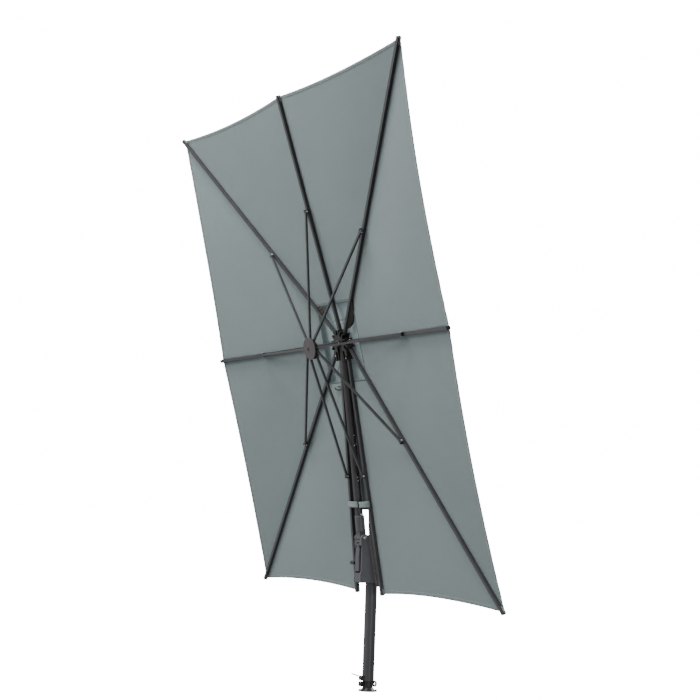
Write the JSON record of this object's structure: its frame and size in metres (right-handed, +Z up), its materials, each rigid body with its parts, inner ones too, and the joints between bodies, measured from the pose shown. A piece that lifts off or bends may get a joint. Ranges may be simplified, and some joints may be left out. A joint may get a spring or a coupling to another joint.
{
  "type": "cantilever parasol",
  "caption": "Rectangular garden parasol with a ribbed canopy hung from a leaning arm on a swivelling mast with a crank housing and bolted foot.",
  "frame": {"origin": "centre of the foot flange's bottom face, on the swivel's axis", "axes": "+Z up the mast; +X across the canopy's width; -Y to the front, where the canopy's underside faces"},
  "size_m": [2.624, 0.8645, 3.4859],
  "materials": {
    "frame_anthracite": "satin powder coat",
    "black_plastic": "fine grain",
    "grey_metal": "satin",
    "bright_steel": "zinc plated",
    "runner_plastic": "moulded",
    "cord": "braided",
    "canopy_cloth": "woven polyester",
    "strap_cloth": "hook and loop tape"
  },
  "bodies": {
    "base": {"base_flange": "frame_anthracite", "swivel_bushes": "black_plastic"},
    "mast": {"lower_mast": "frame_anthracite", "swivel_collar": "black_plastic", "pedal_bracket": "frame_anthracite", "pedal_pin": "bright_steel", "housing_core": "black_plastic", "housing_right_cover": "black_plastic", "housing_left_cover": "black_plastic", "housing_screws": "bright_steel", "release_lever_pin": "bright_steel", "arm_pivot_bolt": "bright_steel"},
    "lock": {"lock_knob": "black_plastic"},
    "latch": {"latch_ring": "black_plastic"},
    "pedal": {"foot_pedal": "grey_metal"},
    "release": {"release_lever": "black_plastic"},
    "clamp": {"arm_clamp_lever": "grey_metal"},
    "crank": {"crank_shaft": "bright_steel", "crank_arm": "grey_metal", "cord_spool": "black_plastic"},
    "crank_grip": {"crank_knob": "black_plastic"},
    "arm": {"arm_sleeve": "frame_anthracite", "upper_arm": "frame_anthracite", "arm_rivets": "bright_steel", "tilt_head": "black_plastic", "lift_cord": "cord"},
    "snap": {"snap_button": "bright_steel"},
    "crown": {"crown_hub": "black_plastic", "rib_pins": "bright_steel", "tilt_pin": "bright_steel", "hub_post": "frame_anthracite", "pulley_pin": "bright_steel", "crown_screws": "bright_steel", "crown_cap": "black_plastic", "canopy_fabric": "canopy_cloth", "vent_flap": "canopy_cloth", "strap_right": "strap_cloth", "strap_left": "strap_cloth"},
    "pulley": {"cord_pulley": "black_plastic"},
    "runner": {"runner_hub": "frame_anthracite", "runner_disc": "runner_plastic", "runner_button": "black_plastic"},
    "rib_top": {"rib_top": "frame_anthracite"},
    "strut_top": {"strut_top": "frame_anthracite"},
    "rib_top_right": {"rib_top_right": "frame_anthracite"},
    "strut_top_right": {"strut_top_right": "frame_anthracite"},
    "rib_top_left": {"rib_top_left": "frame_anthracite"},
    "strut_top_left": {"strut_top_left": "frame_anthracite"},
    "rib_right": {"rib_right": "frame_anthracite"},
    "strut_right": {"strut_right": "frame_anthracite"},
    "rib_left": {"rib_left": "frame_anthracite"},
    "strut_left": {"strut_left": "frame_anthracite"},
    "rib_bottom_right": {"rib_bottom_right": "frame_anthracite"},
    "strut_bottom_right": {"strut_bottom_right": "frame_anthracite"},
    "rib_bottom_left": {"rib_bottom_left": "frame_anthracite"},
    "strut_bottom_left": {"strut_bottom_left": "frame_anthracite"},
    "rib_split_right": {"rib_split_right": "frame_anthracite"},
    "strut_split_right": {"strut_split_right": "frame_anthracite"},
    "rib_split_left": {"rib_split_left": "frame_anthracite"},
    "strut_split_left": {"strut_split_left": "frame_anthracite"}
  },
  "joints": [
    {"name": "mast_swivel", "type": "hinge", "parent": "base", "child": "mast", "pos_m": [0, 0, 0.062], "axis": [0, 0, 1], "continuous": true},
    {"name": "lock_knob_turn", "type": "hinge", "parent": "mast", "child": "lock", "pos_m": [0, -0.045, 0.043], "axis": [0, -1, 0], "continuous": true},
    {"name": "latch_ring_pull", "type": "slide", "parent": "mast", "child": "latch", "axis": [0, 1, 0], "range_m": [0, 0.008], "stiffness_N_per_m": 900, "springref_m": -0.004},
    {"name": "foot_pedal_press", "type": "hinge", "parent": "mast", "child": "pedal", "pos_m": [0, -0.051, 0.082], "axis": [1, 0, 0], "range_deg": [0, 12], "stiffness_Nm_per_rad": 6, "springref_deg": -8.59},
    {"name": "release_lever_pull", "type": "hinge", "parent": "mast", "child": "release", "pos_m": [0, -0.095, 0.862], "axis": [-1, 0, 0], "range_deg": [0, 20], "stiffness_Nm_per_rad": 6, "springref_deg": -5.73},
    {"name": "clamp_lever_turn", "type": "hinge", "parent": "mast", "child": "clamp", "pos_m": [-0.047, -0.082, 0.9], "axis": [1, 0, 0], "range_deg": [0, 90]},
    {"name": "crank_turn", "type": "hinge", "parent": "mast", "child": "crank", "pos_m": [-0.04, -0.047, 0.8], "axis": [1, 0, 0], "continuous": true},
    {"name": "crank_knob_spin", "type": "hinge", "parent": "crank", "child": "crank_grip", "pos_m": [-0.085, -0.085, 0.748], "axis": [1, 0, 0], "continuous": true},
    {"name": "arm_tilt", "type": "hinge", "parent": "mast", "child": "arm", "pos_m": [0, -0.082, 0.9], "axis": [-1, 0, 0], "range_deg": [-30, 0]},
    {"name": "snap_button_press", "type": "slide", "parent": "arm", "child": "snap", "axis": [-1, 0, 0], "range_m": [0, 0.003], "stiffness_N_per_m": 1200, "springref_m": -0.003},
    {"name": "canopy_tilt", "type": "hinge", "parent": "arm", "child": "crown", "pos_m": [0, -0.25918, 2.02756], "axis": [1, 0, 0], "range_deg": [0, 60], "deforming": ["strap_right", "strap_left"]},
    {"name": "cord_pulley_turn", "type": "hinge", "parent": "crown", "child": "pulley", "pos_m": [0, -0.26983, 2.05991], "axis": [1, 0, 0], "continuous": true},
    {"name": "rib_top_fold", "type": "hinge", "parent": "crown", "child": "rib_top", "pos_m": [0, -0.28226, 2.11455], "axis": [1, 0, 0], "range_deg": [0, 81], "deforming": ["canopy_fabric", "vent_flap", "strap_right", "strap_left"]},
    {"name": "strut_top_turn", "type": "hinge", "parent": "rib_top", "child": "strut_top", "pos_m": [0, -0.55679, 2.81274], "axis": [1, 0, 0], "range_deg": [-158.63, 0]},
    {"name": "runner_lift", "type": "hinge", "parent": "strut_top", "child": "runner", "pos_m": [0, -0.49092, 2.05091], "axis": [1, 0, 0], "range_deg": [0, 77.63]},
    {"name": "rib_top_right_fold", "type": "hinge", "parent": "crown", "child": "rib_top_right", "pos_m": [0.03799, -0.27862, 2.10086], "axis": [0.7557, 0.168, -0.633], "range_deg": [0, 82.39]},
    {"name": "strut_top_right_turn", "type": "hinge", "parent": "rib_top_right", "child": "strut_top_right", "pos_m": [0.52594, -0.49353, 2.62635], "axis": [0.7557, 0.168, -0.633], "range_deg": [-158.53, 0]},
    {"name": "rib_top_left_fold", "type": "hinge", "parent": "crown", "child": "rib_top_left", "pos_m": [-0.03799, -0.27862, 2.10086], "axis": [0.7557, -0.168, 0.633], "range_deg": [0, 82.39]},
    {"name": "strut_top_left_turn", "type": "hinge", "parent": "rib_top_left", "child": "strut_top_left", "pos_m": [-0.52594, -0.49353, 2.62635], "axis": [0.7557, -0.168, 0.633], "range_deg": [-158.53, 0]},
    {"name": "rib_right_fold", "type": "hinge", "parent": "crown", "child": "rib_right", "pos_m": [0.058, -0.26738, 2.05849], "axis": [0, 0.2565, -0.9666], "range_deg": [0, 78.83]},
    {"name": "strut_right_turn", "type": "hinge", "parent": "rib_right", "child": "strut_right", "pos_m": [0.80326, -0.38063, 2.02845], "axis": [0, 0.2565, -0.9666], "range_deg": [-158.68, 0]},
    {"name": "rib_left_fold", "type": "hinge", "parent": "crown", "child": "rib_left", "pos_m": [-0.058, -0.26738, 2.05849], "axis": [0, -0.2565, 0.9666], "range_deg": [0, 78.83]},
    {"name": "strut_left_turn", "type": "hinge", "parent": "rib_left", "child": "strut_left", "pos_m": [-0.80326, -0.38063, 2.02845], "axis": [0, -0.2565, 0.9666], "range_deg": [-158.68, 0]},
    {"name": "rib_bottom_right_fold", "type": "hinge", "parent": "crown", "child": "rib_bottom_right", "pos_m": [0.064, -0.25969, 2.0295], "axis": [-0.7654, 0.165, -0.622], "range_deg": [0, 82.45]},
    {"name": "strut_bottom_right_turn", "type": "hinge", "parent": "rib_bottom_right", "child": "strut_bottom_right", "pos_m": [0.54283, -0.18426, 1.46032], "axis": [-0.7654, 0.165, -0.622], "range_deg": [-158.54, 0]},
    {"name": "rib_bottom_left_fold", "type": "hinge", "parent": "crown", "child": "rib_bottom_left", "pos_m": [-0.064, -0.25969, 2.0295], "axis": [-0.7654, -0.165, 0.622], "range_deg": [0, 82.45]},
    {"name": "strut_bottom_left_turn", "type": "hinge", "parent": "rib_bottom_left", "child": "strut_bottom_left", "pos_m": [-0.54283, -0.18426, 1.46032], "axis": [-0.7654, -0.165, 0.622], "range_deg": [-158.54, 0]},
    {"name": "rib_split_right_fold", "type": "hinge", "parent": "crown", "child": "rib_split_right", "pos_m": [0.039, -0.25148, 1.99857], "axis": [-0.9976, 0.0178, -0.0671], "range_deg": [0, 81.7]},
    {"name": "strut_split_right_turn", "type": "hinge", "parent": "rib_split_right", "child": "strut_split_right", "pos_m": [0.09037, -0.14505, 1.26258], "axis": [-0.9976, 0.0178, -0.0671], "range_deg": [-158.58, 0]},
    {"name": "rib_split_left_fold", "type": "hinge", "parent": "crown", "child": "rib_split_left", "pos_m": [-0.039, -0.25148, 1.99857], "axis": [-0.9976, -0.0178, 0.0671], "range_deg": [0, 81.7]},
    {"name": "strut_split_left_turn", "type": "hinge", "parent": "rib_split_left", "child": "strut_split_left", "pos_m": [-0.09037, -0.14505, 1.26258], "axis": [-0.9976, -0.0178, 0.0671], "range_deg": [-158.58, 0]}
  ],
  "couplings": [
    {"joint": "strut_top_turn", "follows": "rib_top_fold", "ratio": -1.9523},
    {"joint": "runner_lift", "follows": "rib_top_fold", "ratio": 0.95225},
    {"joint": "rib_top_right_fold", "follows": "rib_top_fold", "ratio": 1.0135},
    {"joint": "strut_top_right_turn", "follows": "rib_top_fold", "ratio": -1.951},
    {"joint": "rib_top_left_fold", "follows": "rib_top_fold", "ratio": 1.0135},
    {"joint": "strut_top_left_turn", "follows": "rib_top_fold", "ratio": -1.951},
    {"joint": "rib_right_fold", "follows": "rib_top_fold", "ratio": 0.9695},
    {"joint": "strut_right_turn", "follows": "rib_top_fold", "ratio": -1.9529},
    {"joint": "rib_left_fold", "follows": "rib_top_fold", "ratio": 0.9695},
    {"joint": "strut_left_turn", "follows": "rib_top_fold", "ratio": -1.9529},
    {"joint": "rib_bottom_right_fold", "follows": "rib_top_fold", "ratio": 1.0142},
    {"joint": "strut_bottom_right_turn", "follows": "rib_top_fold", "ratio": -1.9511},
    {"joint": "rib_bottom_left_fold", "follows": "rib_top_fold", "ratio": 1.0142},
    {"joint": "strut_bottom_left_turn", "follows": "rib_top_fold", "ratio": -1.9511},
    {"joint": "rib_split_right_fold", "follows": "rib_top_fold", "ratio": 1.0049},
    {"joint": "strut_split_right_turn", "follows": "rib_top_fold", "ratio": -1.9516},
    {"joint": "rib_split_left_fold", "follows": "rib_top_fold", "ratio": 1.0049},
    {"joint": "strut_split_left_turn", "follows": "rib_top_fold", "ratio": -1.9516}
  ]
}
